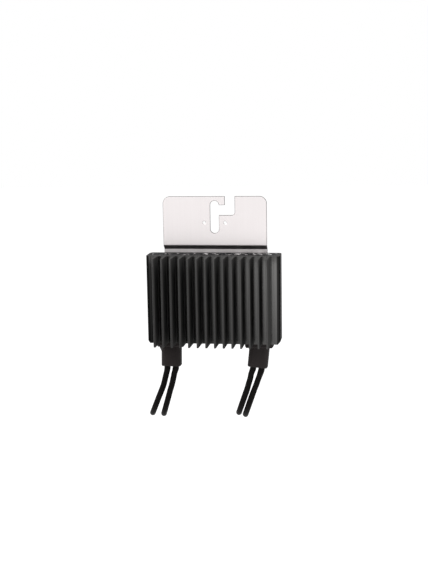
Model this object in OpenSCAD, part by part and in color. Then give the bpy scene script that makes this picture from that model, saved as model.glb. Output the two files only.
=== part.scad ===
// Power optimizer: a finned, resin-filled converter box on a hook-slot bracket, with four stiff leads.
// Millimetres. +Z is up, +X is to the right seen from the fins, and the fins point towards -Y.
// The origin is the centre of the round hanging seat, on the rear face of the bracket plate.

/* [Housing] */
// Width of the extruded housing
housing_w = 128; // [122:1:140]
// Height of the extruded housing and of its fins
housing_h = 84.6; // [80:0.1:110]
// Depth of the housing behind its fins
housing_d = 25.3; // [24:0.1:32]
// Radius of the housing's upright corners
corner_r = 4; // [2.5:0.5:6]
// Thickness of the front wall, which carries the fins
front_wall = 4; // [3:0.1:5]
// Thickness of the side walls
side_wall = 3; // [2:0.1:5]
// Thickness of the rear wall
rear_wall = 2.5; // [2:0.1:3]
// Radius in the chamber's upright corners
chamber_r = 2; // [1:0.5:3]
// Distance of the upright groove from the housing's side
groove_inset = 5.2; // [4:0.1:6.5]
// Width of the upright groove
groove_w = 0.9; // [0.5:0.1:1.5]
// Depth of the upright groove
groove_depth = 0.6; // [0.3:0.1:1.5]

/* [Fins] */
// Number of fins
fin_count = 14; // [8:1:14]
// Distance from fin to fin
fin_pitch = 8.24; // [7:0.01:8.3]
// Depth of the fins in front of the housing
fin_depth = 20; // [10:0.5:30]
// Thickness of a fin at its tip
fin_tip_t = 1.9; // [1.4:0.1:2.2]
// Thickness of a fin at its root
fin_root_t = 2.4; // [2.2:0.1:3]
// Size of the flare where a fin meets the front wall
fin_flare = 0.8; // [0.3:0.1:1.2]

/* [Bracket] */
// Thickness of the bracket sheet
sheet_t = 1.5; // [1:0.1:2]
// Width of the bracket
plate_w = 100.4; // [90:0.1:116]
// Height of the plate above the hanging seat
plate_rise = 8.5; // [7:0.1:14]
// Height of the flat plate below the hanging seat
plate_drop = 38.2; // [34:0.1:50]
// Radius of the plate's top corners
plate_r = 7; // [3:0.5:12]
// Rearward step from the plate to the lower leg
jog_step = 4.1; // [3:0.1:8]
// Inside radius of the bends
bend_r = 1; // [0.5:0.1:2]
// Bare height of the leg between the step and the housing's top
leg_bare = 3.3; // [1:0.1:8]
// Height of the leg behind the housing
leg_overlap = 38; // [34:1:60]
// Radius of the leg's bottom corners
leg_r = 4; // [1:0.5:8]
// Width of the upright slot
slot_w = 8.3; // [7:0.1:9]
// Distance between the centres of the slot's round ends
slot_run = 22.8; // [16:0.1:28]
// Height of the side passage from the slot to the entrance
passage_h = 9.6; // [8.5:0.1:12]
// Width of the hook tongue between the slot and the entrance
tongue_w = 5.9; // [4:0.1:8]
// Width of the entrance, open at the top
entrance_w = 9.4; // [8.5:0.1:12]
// Radius of the lower corner of the entrance
entrance_r = 3; // [1:0.1:4]
// Radius of the two small holes
small_hole_r = 1.45; // [1:0.05:2]
// Distance between the two small holes
small_hole_spacing = 20.2; // [18:0.1:26]
// Drop of the small holes below the hanging seat
small_hole_drop = 16.9; // [14:0.1:20]

/* [Rivets] */
// Shank radius of the rivets
rivet_r = 1.6; // [1.2:0.1:2]
// Head radius of the rivets
rivet_head_r = 3.2; // [2.8:0.1:4]
// Head thickness of the rivets
rivet_head_t = 1.2; // [0.8:0.1:1.6]
// Distance of the rivets from the middle
rivet_x = 36; // [20:1:40]
// Drop of the upper rivets below the housing's top
rivet_row_1 = 10; // [8:0.5:14]
// Drop of the lower rivets below the housing's top
rivet_row_2 = 29; // [22:0.5:30]
// Play of the rivet shanks in their holes
rivet_play = 0.05; // [0:0.01:0.1]

/* [End cap and boots] */
// Thickness of the bottom end cap
cap_t = 3; // [2:0.5:5]
// Play of the end cap in the chamber
cap_play = 0.15; // [0.05:0.05:0.3]
// Width of the rim gasket
gasket_w = 1.6; // [1:0.1:2.2]
// Thickness of the rim gasket
gasket_t = 1.5; // [1:0.1:2]
// Distance of the boots' middles from the housing's sides
boot_inset = 21; // [19:0.5:25]
// Width of a boot
boot_w = 19.5; // [18.5:0.1:20.5]
// Depth of a boot
boot_d = 13; // [11:0.1:15]
// Length of a boot below its flange
boot_len = 19.7; // [14:0.1:26]
// Width of a boot's flange
boot_flange_w = 27.6; // [24:0.1:28]
// Depth of a boot's flange
boot_flange_d = 17; // [15:0.1:18]
// Height of a boot's flange
boot_flange_h = 5; // [4:0.1:7]
// Size of the slope round the flange's lower edge
boot_flange_slope = 1.4; // [0.5:0.1:1.9]
// Size of the bevel round a boot's lower edge
boot_bevel = 0.8; // [0.4:0.1:1.5]
// Radius of a boot's upright edges
boot_r = 5; // [3:0.1:5.3]
// Width of the boot's neck in the end cap
neck_w = 16.2; // [15.8:0.1:16.6]
// Depth of the boot's neck in the end cap
neck_d = 9.5; // [9:0.1:10.5]
// Overhang of the lip that holds the boot in the end cap
lip_overhang = 1; // [0.5:0.1:1.2]
// Thickness of that lip
lip_t = 2; // [1.5:0.1:3]
// Lean of the left boot, in degrees
left_lean = 1; // [0:0.5:6]
// Lean of the right boot, in degrees
right_lean = 6; // [0:0.5:6]

/* [Leads and connectors] */
// Diameter of a lead
lead_d = 5.8; // [5.4:0.1:5.9]
// Distance between the two leads of a boot
lead_spacing = 8.3; // [7.8:0.1:9]
// Diameter of a lead's copper core
core_d = 2.6; // [2:0.1:3]
// Mean radius of the wound output leads
coil_mean_r = 29; // [27:0.5:29.5]
// Width of the bands that tie the wound leads
tie_w = 3.6; // [2.5:0.1:5]
// Thickness of those bands
tie_t = 1.2; // [0.8:0.1:1.5]
// Diameter of a connector's cap nut
nut_d = 15.8; // [15:0.1:15.8]
// Length of a connector's cap nut
nut_len = 17; // [14:0.5:20]
// Length of a connector's barrel in front of its nut
barrel_len = 19; // [16:0.5:24]
// Diameter of a connector's barrel
barrel_d = 14.6; // [14:0.1:15.6]
// Length of the mating sleeve or nose
mate_len = 20; // [16:0.5:22]
// Diameter of the socket connector's nose
nose_d = 10.4; // [10:0.1:10.8]
// Radial play of the nose in the sleeve
mate_play = 0.1; // [0.05:0.01:0.2]
// Diameter of the contact pin
pin_d = 4; // [3:0.1:5]

/* [Board and filling] */
// Gap between the filling's surface and the housing's top
fill_recess = 0.8; // [0.3:0.1:3]
// Gap between the board and the side walls
board_gap_x = 4; // [2:0.5:8]
// Gap between the board and the rear wall
board_gap_y = 3.1; // [2.5:0.1:4]
// Thickness of the circuit board
board_t = 1.6; // [1:0.1:2]
// Height of the circuit board
board_h = 70; // [68:0.5:72]
// Thickness of the thermal pad
pad_t = 1; // [0.5:0.1:1.5]

/* [Hidden] */
$fn = 64;
eps = 0.01;

// Levels and planes
rear_y = jog_step - sheet_t;
front_y = rear_y - housing_d;
fin_tip_y = front_y - fin_depth;
bend_outer_r = bend_r + sheet_t;
// The step goes back by 4 for every 3 that it drops
jog_slope = [4, 3];
jog_back = jog_slope.x / norm(jog_slope);
jog_down = jog_slope.y / norm(jog_slope);
jog_run = (jog_step - (bend_r + bend_outer_r) * (1 - jog_down)) / jog_back;
jog_drop = (bend_r + bend_outer_r) * jog_back + jog_run * jog_down;
jog_top_z = -plate_drop;
jog_end_z = jog_top_z - jog_drop;
top_z = jog_end_z - leg_bare;
bottom_z = top_z - housing_h;
leg_end_z = top_z - leg_overlap;
// Size of the slopes along the housing's lower side edges
low_edge = 0.8 * side_wall;

// Chamber
chamber_w = housing_w - 2 * side_wall;
chamber_front_y = front_y + front_wall;
chamber_rear_y = rear_y - rear_wall;
chamber_d = chamber_rear_y - chamber_front_y;
chamber_y = (chamber_front_y + chamber_rear_y) / 2;
fill_top_z = top_z - fill_recess;
cap_top_z = bottom_z + cap_t;

// Hook slot
slot_r = slot_w / 2;
tongue_x = slot_r + tongue_w;
entrance_x = tongue_x + entrance_w;

// Boots and lead tails
boot_x = housing_w / 2 - boot_inset;
flange_end_z = bottom_z - boot_flange_h;
neck_play = 0.1;
neck_r = 1;
tail_top = boot_len + boot_flange_h + cap_t + lip_t + 1;
core_run = 11;
post_h = 7;
post_w = 6;
post_d = 2.6;
post_cover = 5.5;
lead_y = chamber_y;

// Board and what it carries, with each place given from the board's own middle and lower edge
board_w = chamber_w - 2 * board_gap_x;
board_rear_y = chamber_rear_y - board_gap_y;
board_front_y = board_rear_y - board_t;
board_lift = 4.4;
board_z = cap_top_z + gasket_t + board_lift;
transistor = [10.2, 4.5, 15];
transistor_pitch = 14;
transistor_fall = 20;
transistor_z = board_z + board_h - transistor_fall;
leg_pitch = 2.54;
leg_thick = 0.8;
leg_reach = 3;
pad_margin = 2;
core_r = 13;
core_post_r = 6.5;
core_rim = 2.5;
core_floor = 2;
core_gap = 0.3;
core_depth = 11;
core_x = 18;
core_rise = 29;
core_z = board_z + core_rise;
capacitor = [7, 11, 18];
capacitor_pitch = 8.6;
capacitor_gap = 0.5;
capacitor_edge = 1.2;
capacitor_x = board_w / 2 - capacitor_edge - capacitor.x / 2;
capacitor_room = board_w / 2 - capacitor_edge - core_x - core_r - capacitor_gap;
capacitor_count = floor((capacitor_room - capacitor.x) / capacitor_pitch) + 1;
capacitor_rise = 16;
capacitor_z = board_z + capacitor_rise;
chip = [9, 1.2, 9];
chip_rise = 8;
chip_z = board_z + chip_rise;
transformer = [9, 7, 8];
transformer_x = 15;
shunt = [6.4, 0.8, 3.2];
shunt_x = -15;

// Connectors
wall = 1.8;
nut_grips = 10;
grip_r = 1;
barrel_seat = 10;
barrel_seat_d = nut_d - 2 * wall - 2 * grip_r;
key_inset = 2;
sleeve_d = barrel_d - 0.6;
arm = [1.6, 5, 14];
arm_sink = 0.4;
contact_wall = 1;
pin_reach = mate_len * 0.7;
pin_point = 2;
play = 0.15;
sleeve_bore_r = nose_d / 2 + mate_play;
connector_len = nut_len + barrel_len + mate_len;

// Wound output leads: two rings, each two leads wide and two leads deep
ring_size = 2 * lead_d;
ring_r = coil_mean_r + lead_d;
ring_x = 15;
ring_z = -103;
ring_a_y = 33.2;
ring_b_y = ring_a_y + ring_size;
lay_play = 0.1;
ring_side_x = ring_x + ring_r + lead_d / 2 + lay_play;
ring_top_z = ring_z + ring_r + lead_d / 2;
tie_head = [5, 4, 4.5];
tie_angles = [140, 220];

// Routes of the leads after the start at a boot: a run down, a half turn to the rear and the way back up
lead_start = 3;
input_turn_r = 24;
input_rear_y = lead_y + 2 * input_turn_r;
input_mate_y = 14.4;
input_mate_z = -121;
input_step_z = [-168, -127.4];
input_a_route = concat([[-48.7, lead_y, -163.3], [-50.3, lead_y, -169.4], [-51.9, lead_y, -175.5],
    [-54.2, lead_y, -181.6]], rear_turn([-56.8, lead_y, -187.7], 0.4, input_turn_r, -4.2),
    [[-59.4, input_rear_y, -181.8], [-57.8, input_rear_y, -175.5]], forward_step(-57, -59));
input_b_route = concat([[-40.8, lead_y, -163.2], [-42.2, lead_y, -169.3], [-43.7, lead_y, -175.3],
    [-45.6, lead_y, -181.4]], rear_turn([-47.3, lead_y, -187.5], 0.29, input_turn_r, -5.1),
    [[-51, input_rear_y, -181.7], [-49.5, input_rear_y, -175.3]], forward_step(-48.2, -42));
output_a_y = ring_a_y + lead_d / 2;
output_b_y = ring_b_y - lead_d / 2;
output_slope = 0.35;
output_a_route = concat([[34.9, lead_y, -161.8], [33.5, lead_y, -167.8], [31.7, lead_y, -173.8],
    [30, lead_y, -179.8]], rear_turn([27.8, lead_y, -185.9], output_slope, (output_a_y - lead_y) / 2, -1.3),
    [[28.4, output_a_y, -179.4], [29.8, output_a_y, -173.2], [32.5, output_a_y, -164.5],
    [36.9, output_a_y, -151.5], [41.8, output_a_y, -138.5], [47, output_a_y, -125.5],
    [51.7, output_a_y, -113], [52.7, output_a_y, -107]]);
output_b_route = concat([[43.3, lead_y, -161.6], [41.5, lead_y, -167.6], [39.4, lead_y, -173.6],
    [37, lead_y, -179.7]], rear_turn([34.7, lead_y, -185.7], output_slope, (output_b_y - lead_y) / 2, -0.4),
    [[36.1, output_b_y, -180.8], [38, output_b_y, -174.5], [40.5, output_b_y, -164.5],
    [43.4, output_b_y, -151.5], [46.1, output_b_y, -138.5], [48.9, output_b_y, -125.5],
    [51.9, output_b_y, -113], [52.7, output_b_y, -107]]);
tail_run = 19;
tail_a_y = 31;
tail_b_y = 48.4;
tube_sides = 10;

// Colours
black_anodised = [0.09, 0.09, 0.1];
bright_steel = [0.86, 0.84, 0.84];
black_rubber = [0.17, 0.16, 0.16];
black_plastic = [0.08, 0.08, 0.08];
resin_black = [0.05, 0.05, 0.06];
copper = [0.72, 0.43, 0.26];
tin = [0.75, 0.75, 0.76];
board_green = [0.1, 0.3, 0.18];
ferrite = [0.25, 0.25, 0.27];
film_blue = [0.2, 0.32, 0.5];
pad_grey = [0.6, 0.62, 0.66];

// Plane shapes

// A rectangle about the origin with round corners
module round_rect(size, r) {
    square([size.x - 2 * r, size.y], center = true);
    square([size.x, size.y - 2 * r], center = true);
    for (x = [-1, 1], y = [-1, 1])
        translate([x * (size.x / 2 - r), y * (size.y / 2 - r)]) circle(r);
}

// What is cut from a square corner at the origin, which points to +X and +Y, to round it
module corner_cut(r) {
    translate([-r, -r]) difference() {
        square(2 * r);
        circle(r);
    }
}

// A piece of a ring between two directions
module bend_sector(r_in, r_out, from, to) {
    reach = 2 * r_out;
    intersection() {
        difference() {
            circle(r_out);
            circle(r_in);
        }
        polygon([[0, 0], reach * from, reach * (from + to), reach * to]);
    }
}

// Turns a plane shape drawn in Y and Z into a bar along X
module along_x(w) {
    rotate([90, 0, 90]) linear_extrude(w, center = true) children();
}

// Turns a plane shape drawn in X and Z into a bar along Y
module along_y(y0, y1) {
    translate([0, y1, 0]) rotate([90, 0, 0]) linear_extrude(y1 - y0) children();
}

// A box from a low corner to a high corner
module box(low, high) {
    translate(low) cube(high - low);
}

// Housing

// The chamber's outline, drawn in X and Y
module chamber_outline(play = 0) {
    translate([0, chamber_y])
        round_rect([chamber_w - 2 * play, chamber_d - 2 * play], chamber_r);
}

// One fin's outline with a round tip, drawn in X and Y
module fin_outline() {
    tip_r = fin_tip_t / 2;
    root = fin_root_t / 2;
    flare_y = front_y - fin_flare;
    tip_y = fin_tip_y + tip_r;
    polygon([[-root - fin_flare, front_y + eps], [-root - fin_flare, front_y], [-root, flare_y],
        [-tip_r, tip_y], [tip_r, tip_y], [root, flare_y], [root + fin_flare, front_y],
        [root + fin_flare, front_y + eps]]);
    translate([0, tip_y]) circle(tip_r);
}

module fin_row() {
    for (i = [0 : fin_count - 1])
        translate([(i - (fin_count - 1) / 2) * fin_pitch, 0]) fin_outline();
}

module housing_outline() {
    difference() {
        union() {
            translate([0, (front_y + rear_y) / 2]) round_rect([housing_w, housing_d], corner_r);
            fin_row();
        }
        chamber_outline();
        for (x = [-1, 1])
            translate([x * (housing_w / 2 - groove_inset), front_y])
                square([groove_w, 2 * groove_depth], center = true);
    }
}

// What is cut along the lower side edges, drawn in X and Z
module low_edge_cuts() {
    over = 1;
    edge_x = housing_w / 2;
    for (side = [0, 1]) mirror([side, 0])
        polygon([[edge_x - low_edge - over, bottom_z - over], [edge_x + over, bottom_z - over],
            [edge_x + over, bottom_z + low_edge + over]]);
}

module heat_sink_housing() {
    color(black_anodised) difference() {
        translate([0, 0, bottom_z]) linear_extrude(housing_h) housing_outline();
        along_y(front_y - eps, rear_y + eps) low_edge_cuts();
        at_rivets() rivet_hole();
    }
}

// Bracket

// The bent sheet seen from the side, drawn in Y and Z
module sheet_profile() {
    translate([-sheet_t, jog_top_z]) square([sheet_t, plate_rise - jog_top_z]);
    upper = [bend_r, jog_top_z];
    lower = [rear_y - bend_r, jog_end_z];
    across = [-jog_down, -jog_back];
    translate(upper) bend_sector(bend_r, bend_outer_r, [-1, 0], across);
    polygon([upper + bend_r * across, upper + bend_outer_r * across,
        lower - bend_r * across, lower - bend_outer_r * across]);
    translate(lower) bend_sector(bend_r, bend_outer_r, [1, 0], -across);
    translate([rear_y, leg_end_z]) square([sheet_t, jog_end_z - leg_end_z]);
}

// The hook slot and its way in from the top, drawn in X and Z
module hook_slot() {
    circle(slot_r);
    translate([0, -slot_run]) circle(slot_r);
    translate([-slot_r, -slot_run]) square([slot_w, slot_run]);
    translate([0, -passage_h]) square([entrance_x - entrance_r, passage_h]);
    translate([entrance_x - entrance_r, entrance_r - passage_h]) circle(entrance_r);
    translate([tongue_x, entrance_r - passage_h]) square([entrance_w, plate_rise + passage_h]);
}

// The slot, the small holes and the round corners, drawn in X and Z
module bracket_cuts() {
    hook_slot();
    for (x = [-1, 1])
        translate([x * small_hole_spacing / 2, -small_hole_drop]) circle(small_hole_r);
    for (side = [0, 1]) mirror([side, 0]) {
        translate([plate_w / 2, plate_rise]) corner_cut(plate_r);
        translate([plate_w / 2, leg_end_z]) mirror([0, 1]) corner_cut(leg_r);
    }
}

module mounting_bracket() {
    color(bright_steel) difference() {
        along_x(plate_w) sheet_profile();
        along_y(-2 * sheet_t, jog_step + sheet_t) bracket_cuts();
        at_rivets() rivet_hole();
    }
}

// Rivets

module at_rivets() {
    for (x = [-1, 1], drop = [rivet_row_1, rivet_row_2])
        translate([x * rivet_x, 0, top_z - drop]) children();
}

// The hole through the leg and the rear wall
module rivet_hole() {
    translate([0, chamber_rear_y - 1, 0]) rotate([-90, 0, 0])
        cylinder(r = rivet_r + rivet_play, h = rear_wall + sheet_t + 2);
}

// One rivet along +Y from its inner head to its domed outer head
module rivet() {
    grip = rear_wall + sheet_t;
    dome = rivet_head_t;
    translate([0, chamber_rear_y, 0]) rotate([-90, 0, 0]) {
        translate([0, 0, -rivet_head_t]) cylinder(r = rivet_head_r * 0.85, h = rivet_head_t);
        cylinder(r = rivet_r, h = grip);
        translate([0, 0, grip]) cylinder(r1 = rivet_head_r, r2 = rivet_head_r * 0.8, h = dome * 0.6);
        translate([0, 0, grip + dome * 0.6])
            cylinder(r1 = rivet_head_r * 0.8, r2 = rivet_head_r * 0.4, h = dome * 0.4);
    }
}

module bracket_rivets() {
    color(tin) at_rivets() rivet();
}

// End cap and boots

module at_boots() {
    for (x = [-1, 1]) translate([x * boot_x, lead_y, 0]) children();
}

module bottom_end_cap() {
    color(black_plastic) translate([0, 0, bottom_z]) difference() {
        linear_extrude(cap_t) chamber_outline(cap_play);
        at_boots() translate([0, 0, -1]) linear_extrude(cap_t + 2)
            round_rect([neck_w, neck_d] + 2 * neck_play * [1, 1], neck_r);
    }
}

module end_cap_gasket() {
    color(black_rubber) translate([0, 0, cap_top_z]) linear_extrude(gasket_t) difference() {
        chamber_outline();
        translate([0, chamber_y])
            square([chamber_w - 2 * gasket_w, chamber_d - 2 * gasket_w], center = true);
    }
}

// Places its children in a boot's leaning frame: origin at the outlet face, +Z up along the leads
module boot_frame(side, lean) {
    translate([side * boot_x, lead_y, flange_end_z]) rotate([0, lean, 0])
        translate([0, 0, -boot_len]) children();
}

module at_leads(side, lean) {
    for (k = [-1, 1]) boot_frame(side, lean) translate([k * lead_spacing / 2, 0, 0]) children();
}

// A block with bevels round its lower edge, its top at z = 0
module bevelled_block(w, d, h, bevel, r) {
    intersection() {
        translate([0, 0, -h]) linear_extrude(h) round_rect([w, d], r);
        along_y(-d, d) polygon([[-w / 2, 0], [-w / 2, bevel - h], [bevel - w / 2, -h],
            [w / 2 - bevel, -h], [w / 2, bevel - h], [w / 2, 0]]);
        along_x(2 * w) polygon([[-d / 2, 0], [-d / 2, bevel - h], [bevel - d / 2, -h],
            [d / 2 - bevel, -h], [d / 2, bevel - h], [d / 2, 0]]);
    }
}

// A rubber boot: lip, neck in the cap, flange under the housing and a leaning sleeve with two bores
module boot(side, lean) {
    root = 2;
    difference() {
        union() {
            translate([side * boot_x, lead_y, 0]) {
                translate([0, 0, bottom_z])
                    bevelled_block(boot_flange_w, boot_flange_d, boot_flange_h, boot_flange_slope, boot_r);
                translate([0, 0, bottom_z]) linear_extrude(cap_t) round_rect([neck_w, neck_d], neck_r);
                translate([0, 0, cap_top_z]) linear_extrude(lip_t)
                    round_rect([neck_w, neck_d] + 2 * lip_overhang * [1, 1], neck_r);
            }
            boot_frame(side, lean) translate([0, 0, boot_len + root])
                bevelled_block(boot_w, boot_d, boot_len + root, boot_bevel, boot_r);
        }
        at_leads(side, lean) translate([0, 0, -1]) cylinder(d = lead_d, h = tail_top + 2);
    }
}

module left_boot() {
    color(black_rubber) boot(-1, left_lean);
}

module right_boot() {
    color(black_rubber) boot(1, right_lean);
}

// Lead ends inside the boots and the chamber

// Places its children at all four leads
module at_all_leads() {
    at_leads(-1, left_lean) children();
    at_leads(1, right_lean) children();
}

module lead_tails() {
    color(black_plastic) at_all_leads() cylinder(d = lead_d, h = tail_top);
}

module lead_cores() {
    color(copper) at_all_leads() translate([0, 0, tail_top]) cylinder(d = core_d, h = core_run);
}

// The brass posts stand on the board and take the bare cores
module terminal_posts() {
    color(tin) at_all_leads() translate([0, 0, tail_top + core_run - post_cover]) difference() {
        translate([-post_w / 2, -post_d, 0]) cube([post_w, post_d + board_front_y - lead_y, post_h]);
        translate([0, 0, -1]) cylinder(d = core_d, h = post_cover + 1);
    }
}

// Board and what it carries

module circuit_board() {
    color(board_green)
        box([-board_w / 2, board_front_y, board_z], [board_w / 2, board_rear_y, board_z + board_h]);
}

// Places its children at the four transistors
module at_transistors() {
    for (i = [-1.5, -0.5, 0.5, 1.5])
        translate([i * transistor_pitch, chamber_front_y + pad_t, transistor_z]) children();
}

module thermal_pad() {
    half = 1.5 * transistor_pitch + transistor.x / 2 + pad_margin;
    color(pad_grey) box([-half, chamber_front_y, transistor_z - pad_margin],
        [half, chamber_front_y + pad_t, transistor_z + transistor.z + pad_margin]);
}

// A flat power transistor on the pad, with three legs bent back to the board
module transistor_body() {
    leg_y = transistor.y / 2;
    reach = board_front_y - chamber_front_y - pad_t;
    translate([-transistor.x / 2, 0, 0]) cube(transistor);
    for (k = [-1, 0, 1]) translate([k * leg_pitch - leg_thick / 2, leg_y, -leg_reach]) {
        cube([leg_thick, leg_thick, leg_reach]);
        cube([leg_thick, reach - leg_y, leg_thick]);
    }
}

module power_transistors() {
    color(black_plastic) at_transistors() transistor_body();
}

// Places its children at the two inductors, with +Z towards the fins
module at_inductors() {
    for (x = [-1, 1])
        translate([x * core_x, board_front_y, core_z]) rotate([90, 0, 0]) children();
}

// A pot core with a ring groove for its winding
module inductor_cores() {
    color(ferrite) at_inductors() difference() {
        cylinder(r = core_r, h = core_depth);
        translate([0, 0, core_floor]) difference() {
            cylinder(r = core_r - core_rim, h = core_depth);
            cylinder(r = core_post_r, h = core_depth);
        }
    }
}

module inductor_windings() {
    color(copper) at_inductors() translate([0, 0, core_floor]) difference() {
        cylinder(r = core_r - core_rim - core_gap, h = core_depth - core_floor - 1);
        translate([0, 0, -1]) cylinder(r = core_post_r + core_gap, h = core_depth);
    }
}

// Film capacitors side by side from the board's side edge, as many as fit beside a core
module capacitor_row(side) {
    for (i = [0 : capacitor_count - 1])
        translate([side * (capacitor_x - i * capacitor_pitch) - capacitor.x / 2,
            board_front_y - capacitor.y, capacitor_z]) cube(capacitor);
}

module input_capacitors() {
    color(film_blue) capacitor_row(-1);
}

module output_capacitors() {
    color(film_blue) capacitor_row(1);
}

// A block that stands on the board's front, given by its middle
module on_board(size, x) {
    translate([x - size.x / 2, board_front_y - size.y, chip_z - size.z / 2]) cube(size);
}

module controller_chip() {
    color(black_plastic) on_board(chip, 0);
}

module signal_transformer() {
    color(ferrite) on_board(transformer, transformer_x);
}

module current_shunt() {
    color(tin) on_board(shunt, shunt_x);
}

// The resin fills the chamber round everything in it
module potting_resin() {
    color(resin_black) difference() {
        translate([0, 0, cap_top_z]) linear_extrude(fill_top_z - cap_top_z) chamber_outline();
        end_cap_gasket();
        left_boot();
        right_boot();
        lead_tails();
        lead_cores();
        terminal_posts();
        circuit_board();
        thermal_pad();
        power_transistors();
        inductor_cores();
        inductor_windings();
        input_capacitors();
        output_capacitors();
        controller_chip();
        signal_transformer();
        current_shunt();
        bracket_rivets();
    }
}

// Leads

// A point on a lead's axis at a distance below the boot's flange: k is -1 for the left lead and 1 for the right
function below_flange(side, lean, k, reach) =
    [side * boot_x + k * lead_spacing / 2 * cos(lean) - reach * sin(lean), lead_y,
     flange_end_z - k * lead_spacing / 2 * sin(lean) - reach * cos(lean)];

// The straight start of a lead at its boot's outlet
function lead_from_boot(side, lean, k) =
    [for (reach = [boot_len, boot_len + lead_start]) below_flange(side, lean, k, reach)];

function unit(v) = v / norm(v);

// A half turn to the rear from a run that moves to -X by a slope on its way down, with a drift in X
function rear_turn(start, slope, r, drift) =
    let (down = unit([-slope, 0, -1]))
    [for (a = [0 : 20 : 180]) start + r * sin(a) * down + (1 - cos(a)) / 2 * [drift, 2 * r, 0]];

// The way of an input lead from the rear forward and up to its connector, with shares of its move in Y and Z
function forward_step(x0, x1) =
    let (shares = [[0, 0], [0.06, 0.19], [0.22, 0.36], [0.5, 0.5], [0.78, 0.64], [0.94, 0.81], [1, 1]])
    [for (s = shares) [x0 + (x1 - x0) * s.y, input_rear_y + (input_mate_y - input_rear_y) * s.x,
        input_step_z[0] + (input_step_z[1] - input_step_z[0]) * s.y], [x1, input_mate_y, input_mate_z]];
function route_tangent(p, i) = unit(p[min(i + 1, len(p) - 1)] - p[max(i - 1, 0)]);

// One ring of tube points round a route point, square to the route
function tube_ring(p, i, ref, sides) =
    let (t = route_tangent(p, i), u = unit(ref - (ref * t) * t), v = cross(t, u))
    [for (k = [0 : sides - 1]) p[i] + lead_d / 2 * (cos(360 * k / sides) * u + sin(360 * k / sides) * v)];

// A tube swept along a route, closed at both ends
module lead_tube(route, ref = [1, 0, 0]) {
    n = len(route);
    s = tube_sides;
    points = [for (i = [0 : n - 1]) each tube_ring(route, i, ref, s)];
    walls = [for (i = [0 : n - 2], k = [0 : s - 1])
        [(i + 1) * s + k, (i + 1) * s + (k + 1) % s, i * s + (k + 1) % s, i * s + k]];
    first = [for (k = [0 : s - 1]) k];
    last = [for (k = [s - 1 : -1 : 0]) (n - 1) * s + k];
    polyhedron(points, [first, each walls, last]);
}

module input_lead_a() {
    color(black_plastic) lead_tube(concat(lead_from_boot(-1, left_lean, -1), input_a_route));
}

module input_lead_b() {
    color(black_plastic) lead_tube(concat(lead_from_boot(-1, left_lean, 1), input_b_route));
}

module output_lead_a() {
    end = [ring_side_x, output_a_y, ring_z];
    color(black_plastic) lead_tube(concat(lead_from_boot(1, right_lean, -1), output_a_route, [end]));
}

module output_lead_b() {
    end = [ring_side_x, output_b_y, ring_z];
    color(black_plastic) lead_tube(concat(lead_from_boot(1, right_lean, 1), output_b_route, [end]));
}

// A ring of wound lead, two leads wide and two deep
module wound_ring(y) {
    translate([ring_x, y, ring_z]) rotate([90, 0, 0]) rotate_extrude()
        translate([coil_mean_r, 0]) round_rect([ring_size, ring_size], lead_d / 2);
}

module output_coil_a() {
    color(black_plastic) wound_ring(ring_a_y);
}

module output_coil_b() {
    color(black_plastic) wound_ring(ring_b_y);
}

// The short stretch from a ring's top to its connector, with a straight end
module tail_tube(y0, y1) {
    stops = [[0, 0], [0.2, 0.15], [0.5, 0.85], [0.7, 1], [1, 1]];
    lead_tube([for (s = stops) [ring_x - tail_run * s[0], y0 + (y1 - y0) * s[1], ring_top_z]], [0, 0, 1]);
}

module output_tail_a() {
    color(black_plastic) tail_tube(ring_a_y - lead_d / 2, tail_a_y);
}

module output_tail_b() {
    color(black_plastic) tail_tube(ring_b_y + lead_d / 2, tail_b_y);
}

// A band round both rings, with its head behind them
module coil_tie() {
    inner = [ring_size, 2 * ring_size] + 2 * lay_play * [1, 1];
    translate([coil_mean_r, 0, -tie_w / 2]) {
        linear_extrude(tie_w) difference() {
            square(inner + 2 * tie_t * [1, 1], center = true);
            square(inner, center = true);
        }
        translate([-tie_head.x / 2, inner.y / 2 + tie_t, (tie_w - tie_head.z) / 2]) cube(tie_head);
    }
}

module coil_ties() {
    color(black_plastic) translate([ring_x, (ring_a_y + ring_b_y) / 2, ring_z])
        for (a = tie_angles) rotate([0, -a, 0]) coil_tie();
}

// Connectors, drawn along +Z from the lead's end

// Cap nut with finger grips
module connector_nut() {
    color(black_plastic) difference() {
        linear_extrude(nut_len) difference() {
            circle(d = nut_d);
            for (i = [0 : nut_grips - 1]) rotate(360 * i / nut_grips)
                translate([nut_d / 2 + grip_r / 2, 0]) circle(grip_r);
        }
        translate([0, 0, -1]) cylinder(d = lead_d + 2 * play, h = nut_len);
        translate([0, 0, nut_len - barrel_seat]) cylinder(d = barrel_seat_d + 2 * play, h = barrel_seat + 1);
    }
}

// Barrel with its rear spigot in the nut; the front is added by each kind
module connector_barrel() {
    translate([0, 0, nut_len - barrel_seat]) cylinder(d = barrel_seat_d, h = barrel_seat + 1);
    translate([0, 0, nut_len]) cylinder(d = barrel_d, h = barrel_len);
    translate([-barrel_d / 2, -barrel_d / 4, nut_len + key_inset])
        cube([barrel_d, barrel_d / 2, barrel_len - 2 * key_inset]);
}

// Pin connector: a sleeve with two spring arms round the contact pin
module pin_barrel() {
    color(black_plastic) difference() {
        union() {
            connector_barrel();
            translate([0, 0, nut_len + barrel_len]) cylinder(d = sleeve_d, h = mate_len);
            for (x = [-1, 1])
                translate([x * (barrel_d / 2 - arm_sink) - arm.x / 2, -arm.y / 2, nut_len + barrel_len])
                    cube(arm);
        }
        translate([0, 0, nut_len + barrel_len]) cylinder(r = sleeve_bore_r, h = mate_len + 1);
        translate([0, 0, nut_len - barrel_seat - 1]) cylinder(d = pin_d, h = connector_len);
    }
}

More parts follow.
